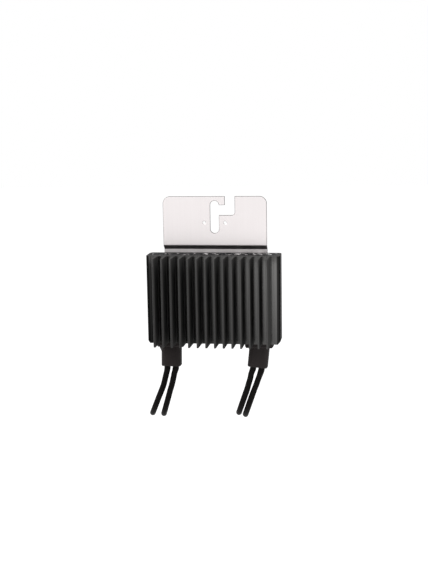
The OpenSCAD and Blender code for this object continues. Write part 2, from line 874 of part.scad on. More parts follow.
// Socket connector: a round nose round the contact tube
module socket_barrel() {
    color(black_plastic) difference() {
        union() {
            connector_barrel();
            translate([0, 0, nut_len + barrel_len]) cylinder(d = nose_d, h = mate_len);
        }
        translate([0, 0, nut_len - barrel_seat - 1]) cylinder(d = pin_d + 2 * contact_wall, h = connector_len);
    }
}

// Contact pin: a crimp on the lead's end, and the pin in the sleeve
module pin_contact() {
    color(tin) {
        cylinder(d = pin_d, h = nut_len + barrel_len + pin_reach);
        translate([0, 0, nut_len + barrel_len + pin_reach])
            cylinder(d1 = pin_d, d2 = pin_d / 2, h = pin_point);
    }
}

// Contact tube: a crimp on the lead's end, and the tube in the nose
module socket_contact() {
    seat_z = nut_len - barrel_seat;
    color(tin) difference() {
        union() {
            cylinder(d = pin_d, h = seat_z + 1);
            translate([0, 0, seat_z])
                cylinder(d = pin_d + 2 * contact_wall, h = connector_len - seat_z - contact_wall);
        }
        translate([0, 0, nut_len + barrel_len]) cylinder(d = pin_d, h = connector_len);
    }
}

// Places of the four connectors
module at_input_pin() {
    translate(input_a_route[len(input_a_route) - 1]) children();
}

module at_input_socket() {
    translate(input_b_route[len(input_b_route) - 1]) children();
}

module at_output_pin() {
    translate([ring_x - tail_run, tail_a_y, ring_top_z]) rotate([0, -90, 0]) children();
}

module at_output_socket() {
    translate([ring_x - tail_run, tail_b_y, ring_top_z]) rotate([0, -90, 0]) children();
}

heat_sink_housing();
mounting_bracket();
bracket_rivets();
bottom_end_cap();
end_cap_gasket();
left_boot();
right_boot();
circuit_board();
thermal_pad();
power_transistors();
inductor_cores();
inductor_windings();
input_capacitors();
output_capacitors();
controller_chip();
signal_transformer();
current_shunt();
terminal_posts();
lead_cores();
lead_tails();
potting_resin();
input_lead_a();
input_lead_b();
output_lead_a();
output_lead_b();
output_coil_a();
output_coil_b();
output_tail_a();
output_tail_b();
coil_ties();
at_input_pin() connector_nut();  // input_pin_nut
at_input_pin() pin_barrel();  // input_pin_barrel
at_input_pin() pin_contact();  // input_pin_contact
at_input_socket() connector_nut();  // input_socket_nut
at_input_socket() socket_barrel();  // input_socket_barrel
at_input_socket() socket_contact();  // input_socket_contact
at_output_pin() connector_nut();  // output_pin_nut
at_output_pin() pin_barrel();  // output_pin_barrel
at_output_pin() pin_contact();  // output_pin_contact
at_output_socket() connector_nut();  // output_socket_nut
at_output_socket() socket_barrel();  // output_socket_barrel
at_output_socket() socket_contact();  // output_socket_contact
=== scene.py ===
"""Dresses the power optimizer: leads at their real length, finishes, a resin surface and a studio."""

import math

import bmesh
import bpy
from bpy.props import FloatProperty, FloatVectorProperty, PointerProperty
from mathutils import Matrix, Vector, noise


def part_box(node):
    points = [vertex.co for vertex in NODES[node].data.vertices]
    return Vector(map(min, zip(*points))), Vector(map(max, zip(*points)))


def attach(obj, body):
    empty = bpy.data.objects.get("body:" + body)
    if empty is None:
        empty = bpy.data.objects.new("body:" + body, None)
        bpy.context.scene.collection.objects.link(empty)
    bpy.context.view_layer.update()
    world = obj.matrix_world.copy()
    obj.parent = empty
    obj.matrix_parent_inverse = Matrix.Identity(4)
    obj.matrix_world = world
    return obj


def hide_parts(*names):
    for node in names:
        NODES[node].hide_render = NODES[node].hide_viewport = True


bl_info = {
    "name": "Power Optimizer Looks",
    "version": (1, 0, 0),
    "blender": (4, 5, 0),
    "location": "3D View > Sidebar > Optimizer",
    "description": "Leads, finishes, resin surface and studio of a power optimizer",
    "category": "Object",
}

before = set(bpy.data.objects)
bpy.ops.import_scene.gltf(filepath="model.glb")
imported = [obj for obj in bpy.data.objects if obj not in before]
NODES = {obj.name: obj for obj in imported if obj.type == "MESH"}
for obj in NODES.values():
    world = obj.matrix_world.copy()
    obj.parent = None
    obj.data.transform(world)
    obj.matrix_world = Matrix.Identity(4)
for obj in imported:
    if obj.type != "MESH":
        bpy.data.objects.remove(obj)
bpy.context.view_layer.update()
BODY = "root"
MM = 0.001

# How far a surface faces along an axis to count as a saw-cut end, a flank of the housing or a sheared edge
END_FACING = 0.5
FLANK_FACING = 0.25
EDGE_FACING = 0.3

# Distance from the middle at which the housing's side margins begin, past its last fin, and with them their
# painted shade
MARGIN_X = 58 * MM

# The bracket's two small holes: distance from its middle, height and how far their lighter painted shade
# reaches
HOLE_X = 10.1 * MM
HOLE_Z = -16.9 * MM
HOLE_REACH = 2.5 * MM

# Where the bracket's plate ends and its step begins, above which the painted edge shade is darkest, and the
# width of its softened edges
STEP_Z = -37.5 * MM
EDGE_WIDTH = 0.35 * MM

# The resin's surface, in shares of the room up to the housing's rim: least, plain and greatest height,
# the rise along the walls, the ripples, and the top of the lumps
RESIN_LEAST = 0.05
RESIN_PLAIN = 0.3
RESIN_MOST = 0.95
RESIN_CREEP = 0.45
RESIN_RIPPLE = 0.1
RESIN_LUMP = 0.92

# How far the resin creeps from a wall, and how far from the rear wall its lumps are full and end
CREEP_REACH = 1.2 * MM
LUMPS_FULL = 6 * MM
LUMPS_END = 9 * MM

# Noise level over which a lump is full, and over which gloss shows
LUMP_NOISE = 0.15
GLOSS_NOISE = 0.535

# Colours of the metals
RIVET_STEEL = (0.62, 0.61, 0.6)
TIN = (0.7, 0.69, 0.67)
COPPER = (0.8, 0.42, 0.26)

# Finishes of the pieces inside the resin: their nodes, colour and roughness
INNER_FINISHES = {
    "board_laminate": (["circuit_board"], (0.03, 0.13, 0.06), 0.35),
    "thermal_pad": (["thermal_pad"], (0.42, 0.44, 0.47), 0.7),
    "chip_epoxy": (["power_transistors", "controller_chip"], (0.02, 0.02, 0.022), 0.45),
    "ferrite": (["inductor_cores", "signal_transformer"], (0.07, 0.07, 0.075), 0.55),
    "capacitor_case": (["input_capacitors", "output_capacitors"], (0.05, 0.1, 0.24), 0.3),
}

# Places and widths of the square lamps, and the point that both face
KEY_PLACE = (-0.9, -1.1, 0.9)
KEY_WIDTH = 1.1
TOP_PLACE = (0.35, -0.15, 1.2)
TOP_WIDTH = 0.9
LAMP_TARGET = (0, 0, -0.06)

# Light that the floor adds where it is seen as a background
FLOOR_SHOWN = 0.55

# The graded card: depth and edges, where its light rises from and to, and its least light left and below
CARD_Y = -0.08
CARD_X = (-0.25, 0.25)
CARD_Z = (-0.3, -0.06)
CARD_RISE_X = (-0.07, 0.055)
CARD_RISE_Z = (-0.15, -0.06)
CARD_LEFT = 0.11
CARD_BELOW = 0.45

# Routes of the leads in millimetres: two points in line with the boot, a run down,
# a half turn to the rear and the way back up
FRONT_Y = -9.3
INPUT_TURN = 24.0
INPUT_REAR_Y = FRONT_Y + 2 * INPUT_TURN
INPUT_MATE_Y = 14.4
OUTPUT_A_Y = 36.1
OUTPUT_B_Y = 41.9


def run(y, *places):
    """Points at one depth."""
    return [(x, y, z) for x, z in places]


def rear_turn(x, z, slope, radius, drift):
    """A half turn to the rear from a run that moves to -X by a slope on its way down, with a drift in X."""
    half_turn = 180
    step = 20
    down = Vector((-slope, 0, -1)).normalized()
    points = []
    for degrees in range(0, half_turn + 1, step):
        angle = math.radians(degrees)
        back = (1 - math.cos(angle)) / 2
        move = radius * math.sin(angle) * down
        points.append((x + move.x + back * drift, FRONT_Y + back * 2 * radius, z + move.z))
    return points


def forward_step(x0, x1):
    """The way of an input lead from the rear forward and up to its connector."""
    low = -168.0
    high = -127.4
    mate = -121.0
    shares = ((0, 0), (0.06, 0.19), (0.22, 0.36), (0.5, 0.5), (0.78, 0.64), (0.94, 0.81), (1, 1))
    depth = INPUT_MATE_Y - INPUT_REAR_Y
    points = [
        (x0 + (x1 - x0) * up, INPUT_REAR_Y + depth * forward, low + (high - low) * up)
        for forward, up in shares]
    return [*points, (x1, INPUT_MATE_Y, mate)]


INPUT_A = [
    *run(FRONT_Y, (-47.49, -155.55), (-47.54, -158.55), (-48.7, -163.3), (-50.3, -169.4), (-51.9, -175.5),
         (-54.2, -181.6)),
    *rear_turn(-56.8, -187.7, 0.4, INPUT_TURN, -4.2),
    *run(INPUT_REAR_Y, (-59.4, -181.8), (-57.8, -175.5)),
    *forward_step(-57.0, -59.0),
]
INPUT_B = [
    *run(FRONT_Y, (-39.19, -155.69), (-39.24, -158.69), (-40.8, -163.2), (-42.2, -169.3), (-43.7, -175.3),
         (-45.6, -181.4)),
    *rear_turn(-47.3, -187.5, 0.29, INPUT_TURN, -5.1),
    *run(INPUT_REAR_Y, (-51.0, -181.7), (-49.5, -175.3)),
    *forward_step(-48.2, -42.0),
]
OUTPUT_A = [
    *run(FRONT_Y, (36.81, -155.08), (36.5, -158.06), (34.9, -161.8), (33.5, -167.8), (31.7, -173.8),
         (30.0, -179.8)),
    *rear_turn(27.8, -185.9, 0.35, (OUTPUT_A_Y - FRONT_Y) / 2, -1.3),
    *run(OUTPUT_A_Y, (28.4, -179.4), (29.8, -173.2), (32.5, -164.5), (36.9, -151.5), (41.8, -138.5),
         (47.0, -125.5), (51.7, -113.0), (52.7, -107.0)),
]
OUTPUT_B = [
    *run(FRONT_Y, (45.07, -155.95), (44.76, -158.93), (43.7, -162.1), (41.5, -167.6), (39.4, -173.6),
         (37.0, -179.7)),
    *rear_turn(34.7, -185.7, 0.35, (OUTPUT_B_Y - FRONT_Y) / 2, -0.4),
    *run(OUTPUT_B_Y, (36.1, -180.8), (38.0, -174.5), (40.5, -164.5), (43.4, -151.5), (46.1, -138.5),
         (48.9, -125.5), (51.9, -113.0), (52.7, -107.0)),
]


def in_metres(route):
    return [tuple(MM * part for part in point) for point in route]


class CameraSettings(bpy.types.PropertyGroup):
    """Where the camera stands and what it looks at."""

    place: FloatVectorProperty(
        name="Place", description="Where the camera stands", subtype="TRANSLATION",
        default=(0.15582, -1.0944, 0.11129))
    target: FloatVectorProperty(
        name="Target", description="The point that the camera looks at", subtype="TRANSLATION",
        default=(0.004345, -0.04272, -0.070794))
    roll: FloatProperty(
        name="Roll", description="Turn about the line of sight", subtype="ANGLE",
        default=math.radians(-0.941))
    lens: FloatProperty(
        name="Lens", description="Focal length for a picture 36 mm high", unit="CAMERA", default=73.05)


class LeadSettings(bpy.types.PropertyGroup):
    """Sizes of the leads."""

    diameter: FloatProperty(name="Diameter", description="Outside of a lead", unit="LENGTH", default=0.0058)
    input_length: FloatProperty(
        name="Input length", description="Length of an input lead", unit="LENGTH", default=0.185)
    output_length: FloatProperty(
        name="Output length", description="Length of an output lead", unit="LENGTH", default=1.0)
    coil_radius: FloatProperty(
        name="Coil radius", description="Mean radius of a wound lead", unit="LENGTH", default=0.029)


class FinishSettings(bpy.types.PropertyGroup):
    """Colours of the finishes."""

    anodised: FloatVectorProperty(
        name="Anodised", description="Black anodised housing", subtype="COLOR", default=(0.09, 0.0885, 0.087))
    steel: FloatVectorProperty(
        name="Steel", description="Bracket sheet", subtype="COLOR", default=(0.8, 0.757, 0.757))
    rubber: FloatVectorProperty(
        name="Rubber", description="Boots", subtype="COLOR", default=(0.0225, 0.0178, 0.0174))
    jacket: FloatVectorProperty(
        name="Jacket", description="Lead jackets", subtype="COLOR", default=(0.0075, 0.0066, 0.0064))
    resin: FloatVectorProperty(
        name="Resin", description="Casting resin", subtype="COLOR", default=(0.006, 0.006, 0.0065))
    plastic: FloatVectorProperty(
        name="Plastic", description="Connectors, ties and end cap", subtype="COLOR",
        default=(0.014, 0.014, 0.014))


class StudioSettings(bpy.types.PropertyGroup):
    """The floor and the light."""

    floor_drop: FloatProperty(
        name="Floor drop", description="Drop of the floor below the hanging seat", unit="LENGTH", default=0.5)
    floor_size: FloatProperty(
        name="Floor size", description="Width of the floor", unit="LENGTH", default=12.0)
    world_light: FloatProperty(
        name="World light", description="Strength of the light from all round", default=0.55, min=0)
    key_power: FloatProperty(
        name="Key power", description="Power of the large lamp at the upper left", unit="POWER", default=16)
    top_power: FloatProperty(
        name="Top power", description="Power of the lamp above", unit="POWER", default=5)
    card_light: FloatProperty(
        name="Card light", description="Strength of the graded card that the fins mirror", default=2.2, min=0)


class OptimizerSettings(bpy.types.PropertyGroup):
    """All that a user would change."""

    camera: PointerProperty(type=CameraSettings)
    leads: PointerProperty(type=LeadSettings)
    finish: PointerProperty(type=FinishSettings)
    studio: PointerProperty(type=StudioSettings)


# Shader nodes

# Sockets of a Mix node that take and give colours, whose names it also has for numbers
MIX_FIRST = 6
MIX_SECOND = 7
MIX_RESULT = 2


class Value:
    """A socket that takes part in Python sums; each step adds a Math node."""

    def __init__(self, graph, socket):
        self.graph = graph
        self.socket = socket

    def _math(self, operation, first, second):
        return self.graph.node("ShaderNodeMath", {"operation": operation}, {0: first, 1: second})

    def __add__(self, other):
        return self._math("ADD", self, other)

    def __radd__(self, other):
        return self._math("ADD", other, self)

    def __sub__(self, other):
        return self._math("SUBTRACT", self, other)

    def __rsub__(self, other):
        return self._math("SUBTRACT", other, self)

    def __mul__(self, other):
        return self._math("MULTIPLY", self, other)

    def __rmul__(self, other):
        return self._math("MULTIPLY", other, self)

    def over(self, limit):
        return self._math("GREATER_THAN", self, limit)

    def size(self):
        return self._math("ABSOLUTE", self, 0.0)


class Graph:
    """A node tree that nodes are added to by type, settings and sockets."""

    def __init__(self, tree):
        self.tree = tree

    def node(self, kind, settings=None, sockets=None, output=0):
        node = self.tree.nodes.new(kind)
        for key, setting in (settings or {}).items():
            setattr(node, key, setting)
        for key, value in (sockets or {}).items():
            self.feed(node.inputs[key], value)
        return Value(self, node.outputs[output])

    def feed(self, socket, value):
        if isinstance(value, Value):
            self.tree.links.new(value.socket, socket)
        else:
            socket.default_value = value


class Paint(Graph):
    """A material with its main shader and the few patterns that the finishes share."""

    def __init__(self, name):
        self.material = bpy.data.materials.new(finish_name(name))
        self.material.use_nodes = True
        super().__init__(self.material.node_tree)
        self.shader = self.tree.nodes["Principled BSDF"]
        self.place = self.node("ShaderNodeTexCoord", output="Object")

    def set(self, **sockets):
        for key, value in sockets.items():
            self.feed(self.shader.inputs[key.replace("_", " ")], value)

    def constant(self, name, value):
        self.shader.inputs[name].default_value = value

    def grain(self, waves, detail=2.0, roughness=0.5):
        """Noise with its own number of waves a metre along X, Y and Z."""
        stretched = self.node("ShaderNodeMapping", sockets={"Vector": self.place, "Scale": waves})
        return self.node(
            "ShaderNodeTexNoise",
            sockets={"Vector": stretched, "Scale": 1.0, "Detail": detail, "Roughness": roughness})

    def shade(self, factor, first, second):
        """A colour between two colours, each plain or from another node."""
        ends = [colour if isinstance(colour, Value) else (*colour, 1.0) for colour in (first, second)]
        sockets = {"Factor": factor, MIX_FIRST: ends[0], MIX_SECOND: ends[1]}
        return self.node("ShaderNodeMix", {"data_type": "RGBA"}, sockets, output=MIX_RESULT)

    def tone(self, factor, colour, low, high):
        """A colour between two multiples of itself."""
        return self.shade(factor, scaled(colour, low), scaled(colour, high))

    def bump(self, height, strength, distance):
        sockets = {"Strength": strength, "Distance": distance, "Height": height}
        self.set(Normal=self.node("ShaderNodeBump", sockets=sockets))

    def part(self, axis, vector=None):
        """One part of a vector, or of the place."""
        return self.node("ShaderNodeSeparateXYZ", sockets={"Vector": vector or self.place}, output=axis)

    def along(self, axis, start, end):
        """How far a place is on the way along one axis, from 0 to 1."""
        sockets = {"Value": self.part(axis), "From Min": start, "From Max": end}
        return self.node("ShaderNodeMapRange", sockets=sockets)

    def facing(self, axis):
        """How far a surface faces along one axis, from 0 to 1."""
        return self.part(axis, self.node("ShaderNodeNewGeometry", output="True Normal")).size()


def finish_name(name):
    return f"{name}_finish"


def finish(name):
    """A finish that an earlier step made."""
    return bpy.data.materials[finish_name(name)]


def background_rays(graph):
    """1 for rays that show the surroundings as a white background, and 0 for rays that light the part."""
    rays = graph.node("ShaderNodeLightPath").socket.node.outputs
    kinds = ("Is Camera Ray", "Is Glossy Ray", "Is Transmission Ray")
    camera, glossy, through = (Value(graph, rays[kind]) for kind in kinds)
    return camera + glossy + through


def scaled(colour, factor):
    return tuple(factor * part for part in colour)


def anodised_paint(colour):
    """Black anodised extrusion: faint upright die lines, painted shade on its side margins and on its matt
    fin sides, and saw-cut ends.
    """
    paint = Paint("black_anodised")
    die_lines = paint.grain((1400, 1400, 6), detail=3)
    cloud = paint.grain((40, 40, 25))
    saw_lines = paint.grain((180, 2600, 180))
    ends = paint.facing("Z").over(END_FACING)
    flanks = paint.facing("X").over(FLANK_FACING)
    # Masks of the side margins and the fin sides, which both get painted shade
    margins = flanks * paint.part("X").size().over(MARGIN_X)
    sides = flanks - margins
    level = 0.72 * die_lines + 0.28 * cloud
    front = paint.tone(level, colour, low=0.8, high=1.2)
    cut = paint.tone(saw_lines, colour, low=0.65, high=1.15)
    # Painted shade: the side margins darkened to a fifth of the colour
    with_margin_shade = paint.shade(margins, front, scaled(colour, 0.2))
    # Painted shade: the fin sides, in the channels between fins, darkened to three quarters of the colour;
    # they are also matt
    with_fin_side_shade = paint.shade(sides, with_margin_shade, scaled(colour, 0.75))
    paint.set(
        Base_Color=paint.shade(ends, with_fin_side_shade, cut),
        Metallic=1.0 - ends - sides,
        Roughness=0.13 + 0.08 * level + 0.1 * flanks)
    paint.constant("Specular IOR Level", 0.0)
    paint.constant("Specular Tint", (0.03, 0.03, 0.03, 1.0))
    paint.bump(die_lines + ends * (saw_lines - die_lines), strength=0.03, distance=0.4 * MM)
    return paint.material


def steel_paint(colour):
    """Bright sheet with upright brushing, with painted shade on its sheared edges and bends, less of it at
    its small holes.
    """
    paint = Paint("brushed_bracket")
    brushing = paint.grain((1800, 300, 14), detail=4, roughness=0.6)
    bands = paint.grain((120, 60, 5))
    level = 0.6 * brushing + 0.4 * bands
    beside = paint.part("X").size() - HOLE_X
    below = paint.part("Z") - HOLE_Z
    past_holes = (beside * beside + below * below).over(HOLE_REACH ** 2)
    plate = paint.part("Z").over(STEP_Z)
    # Painted shade: sheared edges darkened to 0.12 of the colour on the plate, and the step, which faces down
    # over the dark housing, to 0.22
    edge_and_step_shade = paint.tone(plate, colour, low=0.22, high=0.12)
    # Lighter painted shade, 0.7 of the colour, on the walls round the small holes
    painted_edge_shade = paint.shade(past_holes, scaled(colour, 0.7), edge_and_step_shade)
    # Surfaces that get the painted shade: sheared edges, hole walls and the step
    edges = (paint.facing("X") + paint.facing("Z")).over(EDGE_FACING)
    bright = paint.tone(level, colour, low=0.95, high=1.04)
    paint.set(
        Base_Color=paint.shade(edges, bright, painted_edge_shade),
        Roughness=0.33 + 0.04 * level)
    paint.constant("Metallic", 1.0)
    paint.bump(brushing, strength=0.03, distance=0.3 * MM)
    return paint.material


def rubber_paint(colour):
    """Matt moulded rubber with a fine sparked texture."""
    paint = Paint("boot_rubber")
    fine = paint.grain((2200, 2200, 2200), detail=3)
    cloud = paint.grain((90, 90, 90))
    paint.set(
        Base_Color=paint.tone(cloud, colour, low=0.85, high=1.15),
        Roughness=0.52 + 0.16 * fine)
    paint.constant("Specular IOR Level", 0.16)
    paint.bump(fine, strength=0.25, distance=0.3 * MM)
    return paint.material


def jacket_paint(colour):
    """Cable jacket with a slight sheen and faint extrusion waves."""
    paint = Paint("lead_jacket")
    fine = paint.grain((1500, 1500, 1500))
    waves = paint.grain((60, 60, 140))
    paint.set(
        Base_Color=paint.tone(waves, colour, low=0.8, high=1.25),
        Roughness=0.46 + 0.14 * fine)
    paint.constant("Specular IOR Level", 0.04)
    paint.bump(fine + 2.0 * waves, strength=0.1, distance=0.4 * MM)
    return paint.material


def resin_paint(colour, rear):
    """Dull casting resin with glossy spots towards the rear wall."""
    paint = Paint("casting_resin")
    flow = paint.grain((140, 220, 140), detail=3)
    spots = paint.grain((170, 90, 90)).over(GLOSS_NOISE)
    gloss = spots * paint.along("Y", rear - LUMPS_END, rear - LUMPS_FULL)
    paint.set(
        Base_Color=paint.tone(flow, colour, low=0.8, high=1.3),
        Roughness=0.55 + 0.1 * flow - 0.5 * gloss,
        Coat_Weight=gloss)
    paint.constant("Specular IOR Level", 0.18)
    paint.constant("Coat Roughness", 0.02)
    paint.constant("Coat IOR", 2.0)
    paint.bump(flow, strength=0.2, distance=0.8 * MM)
    return paint.material


def plastic_paint(colour):
    """Moulded plastic with a fine texture."""
    paint = Paint("moulded_plastic")
    fine = paint.grain((1800, 1800, 1800), detail=3)
    cloud = paint.grain((120, 120, 120))
    paint.set(
        Base_Color=paint.tone(cloud, colour, low=0.85, high=1.2),
        Roughness=0.4 + 0.2 * fine)
    paint.constant("Specular IOR Level", 0.4)
    paint.bump(fine, strength=0.15, distance=0.3 * MM)
    return paint.material


def metal_paint(name, colour, rough):
    """Plain metal with a soft cloud in its tone."""
    paint = Paint(name)
    cloud = paint.grain((300, 300, 300), detail=3)
    paint.set(
        Base_Color=paint.tone(cloud, colour, low=0.85, high=1.1),
        Roughness=rough + 0.15 * cloud)
    paint.constant("Metallic", 1.0)
    paint.bump(cloud, strength=0.1, distance=0.3 * MM)
    return paint.material


def inner_paint(name, colour, rough):
    """Finish of a piece inside the resin."""
    paint = Paint(name)
    cloud = paint.grain((400, 400, 400), detail=3)
    paint.set(
        Base_Color=paint.tone(cloud, colour, low=0.8, high=1.15),
        Roughness=rough + 0.2 * cloud)
    paint.bump(cloud, strength=0.1, distance=0.3 * MM)
    return paint.material


# Pieces


def dress(names, material):
    """Gives CAD nodes a finish."""
    for name in names:
        slots = NODES[name].data.materials
        slots.clear()
        slots.append(material)


def soften(name, width):
    """Rounds the sharp edges of a CAD node as shown."""
    modifiers = NODES[name].modifiers
    weld = modifiers.new("join", "WELD")
    weld.merge_threshold = 0.002 * MM
    flat = modifiers.new("flat", "DECIMATE")
    flat.decimate_type = "DISSOLVE"
    flat.angle_limit = math.radians(0.5)
    bevel = modifiers.new("edge", "BEVEL")
    bevel.width = width
    bevel.segments = 2
    bevel.limit_method = "ANGLE"
    bevel.angle_limit = math.radians(40)
    bevel.use_clamp_overlap = False


def new_mesh(name, bm, material):
    """Turns a bmesh into a mesh with one finish."""
    mesh = bpy.data.meshes.new(name)
    bm.to_mesh(mesh)
    bm.free()
    mesh.materials.append(material)
    return mesh


def new_object(name, data):
    """Puts an object into the scene, in the part's own frame."""
    thing = bpy.data.objects.new(name, data)
    bpy.context.scene.collection.objects.link(thing)
    return thing


def new_piece(name, data):
    """Puts a piece into the scene that rides on the part's body."""
    piece = new_object(name, data)
    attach(piece, BODY)
    return piece


def smooth_step(x):
    x = min(max(x, 0.0), 1.0)
    return x * x * (3.0 - 2.0 * x)


def lead_curve(name, points, diameter, material):
    """A round lead along one smooth open curve."""
    curve = bpy.data.curves.new(name, "CURVE")
    curve.dimensions = "3D"
    curve.bevel_depth = diameter / 2
    curve.bevel_resolution = 5
    curve.resolution_u = 5
    curve.use_fill_caps = True
    spline = curve.splines.new("BEZIER")
    spline.bezier_points.add(len(points) - 1)
    for knot, point in zip(spline.bezier_points, points):
        knot.co = point
        knot.handle_left_type = "AUTO"
        knot.handle_right_type = "AUTO"
    curve.materials.append(material)
    return new_piece(name, curve)


def wound_turns(node, diameter, mean_radius, side):
    """Points of a lead wound two wide and two deep, from the ring's right to above its top."""
    low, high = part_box(node)
    centre = (low + high) / 2
    laps = 4
    turn = 360
    quarter = 90
    step = 15
    shift_start = 228
    shift_run = 200
    entry_run = 120
    entry_lift = 1.02 * diameter
    cell = diameter / math.sqrt(2)

    def moved(degrees, lap):
        """How far the lead has moved on to its next place in one lap, from 0 to 1."""
        return smooth_step((degrees - shift_start - turn * lap) / shift_run)

    def corner(shifts):
        """Angle round the lead's four places after some moves."""
        return math.radians(quarter / 2 + quarter * shifts)

    points = []
    for degrees in range(0, laps * turn + quarter + 1, step):
        shifts = sum(moved(degrees, lap) for lap in range(laps - 1))
        phase = corner(shifts)
        spread = cell * math.sin(corner(shifts % 1)) - diameter / 2
        lift = entry_lift * (1 - smooth_step(degrees / entry_run)) + diameter * moved(degrees, laps - 1)
        radius = mean_radius + cell * math.cos(phase) + lift
        angle = math.radians(degrees)
        points.append((
            centre.x + radius * math.cos(angle),
            centre.y + side * (cell * math.sin(phase) - spread),
            centre.z + radius * math.sin(angle)))
    return points


def tail_points(node, diameter):
    """Points of the stretch from a ring's top to its connector, which moves over sideways on its way."""
    low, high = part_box(node)
    level = (low.z + high.z) / 2
    length = high.x - low.x
    start = low.y + diameter / 2
    shift = high.y - low.y - diameter
    stops = ((0.2, 0.15), (0.5, 0.85), (0.7, 1.0), (1.0, 1.0))
    return [(high.x - length * along, start + shift * across, level) for along, across in stops]


def connector_nodes(which):
    return [NODES[f"{which}_{part}"] for part in ("nut", "barrel", "contact")]


class OPTIMIZER_OT_camera(bpy.types.Operator):
    """Stands the camera where the photograph was taken from"""

    bl_idname = "optimizer.camera"
    bl_label = "Camera"

    def execute(self, context):
        settings = context.scene.optimizer.camera
        camera = bpy.data.cameras.new("camera")
        camera.sensor_fit = "VERTICAL"
        camera.sensor_height = 36
        camera.lens = settings.lens
        camera.clip_end = 50
        holder = new_object("camera", camera)
        back = Vector(settings.place) - Vector(settings.target)
        turn = back.to_track_quat("Z", "Y").to_matrix().to_4x4()
        roll = Matrix.Rotation(settings.roll, 4, "Z")
        holder.matrix_world = Matrix.Translation(settings.place) @ turn @ roll
        context.scene.camera = holder
        return {"FINISHED"}


class OPTIMIZER_OT_input_leads(bpy.types.Operator):
    """Lays the two input leads from the left boot to their connectors"""

    bl_idname = "optimizer.input_leads"
    bl_label = "Input leads"

    def execute(self, context):
        settings = context.scene.optimizer
        material = jacket_paint(settings.finish.jacket)
        size = settings.leads
        for letter, points, kind in (("a", INPUT_A, "pin"), ("b", INPUT_B, "socket")):
            route = in_metres(points)
            lead = lead_curve(f"input_cable_{letter}", route, size.diameter, material)
            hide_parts(f"input_lead_{letter}")
        return {"FINISHED"}


class OPTIMIZER_OT_output_leads(bpy.types.Operator):
    """Lays the two output leads from the right boot, winds them up and ends them in their connectors"""

    bl_idname = "optimizer.output_leads"
    bl_label = "Output leads"

    def execute(self, context):
        settings = context.scene.optimizer
        material = finish("lead_jacket")
        size = settings.leads
        for letter, points, kind, side in (("a", OUTPUT_A, "pin", 1), ("b", OUTPUT_B, "socket", -1)):
            route = in_metres(points)
            turns = wound_turns(f"output_coil_{letter}", size.diameter, size.coil_radius, side)
            tail = tail_points(f"output_tail_{letter}", size.diameter)
            lead = lead_curve(f"output_cable_{letter}", [*route, *turns, *tail], size.diameter, material)
            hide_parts(*(f"output_{part}_{letter}" for part in ("lead", "coil", "tail")))
            pieces = connector_nodes(f"output_{kind}")
            if letter == "a":
                pieces.append(NODES["coil_ties"])
        return {"FINISHED"}


class OPTIMIZER_OT_housing(bpy.types.Operator):
    """Finishes the finned housing"""

    bl_idname = "optimizer.housing"
    bl_label = "Housing"

    def execute(self, context):
        colours = context.scene.optimizer.finish
        dress(["heat_sink_housing"], anodised_paint(colours.anodised))
        return {"FINISHED"}


class OPTIMIZER_OT_bracket(bpy.types.Operator):
    """Finishes the bracket and its rivets"""

    bl_idname = "optimizer.bracket"
    bl_label = "Bracket"

    def execute(self, context):
        colours = context.scene.optimizer.finish
        dress(["mounting_bracket"], steel_paint(colours.steel))
        soften("mounting_bracket", EDGE_WIDTH)
        dress(["bracket_rivets"], metal_paint("rivet_steel", RIVET_STEEL, rough=0.32))
        return {"FINISHED"}


class OPTIMIZER_OT_boots(bpy.types.Operator):
    """Finishes the boots, the end cap with its gasket, and the ties"""

    bl_idname = "optimizer.boots"
    bl_label = "Boots"

    def execute(self, context):
        colours = context.scene.optimizer.finish
        dress(["left_boot", "right_boot", "end_cap_gasket"], rubber_paint(colours.rubber))
        dress(["bottom_end_cap", "coil_ties"], plastic_paint(colours.plastic))
        return {"FINISHED"}


class OPTIMIZER_OT_connectors(bpy.types.Operator):
    """Finishes the four connectors"""

    bl_idname = "optimizer.connectors"
    bl_label = "Connectors"

    def execute(self, context):
        plastic = finish("moulded_plastic")
        tin = metal_paint("tinned_contact", TIN, rough=0.28)
        for end in ("input", "output"):
            for kind in ("pin", "socket"):
                dress([f"{end}_{kind}_nut", f"{end}_{kind}_barrel"], plastic)
                dress([f"{end}_{kind}_contact"], tin)
        return {"FINISHED"}


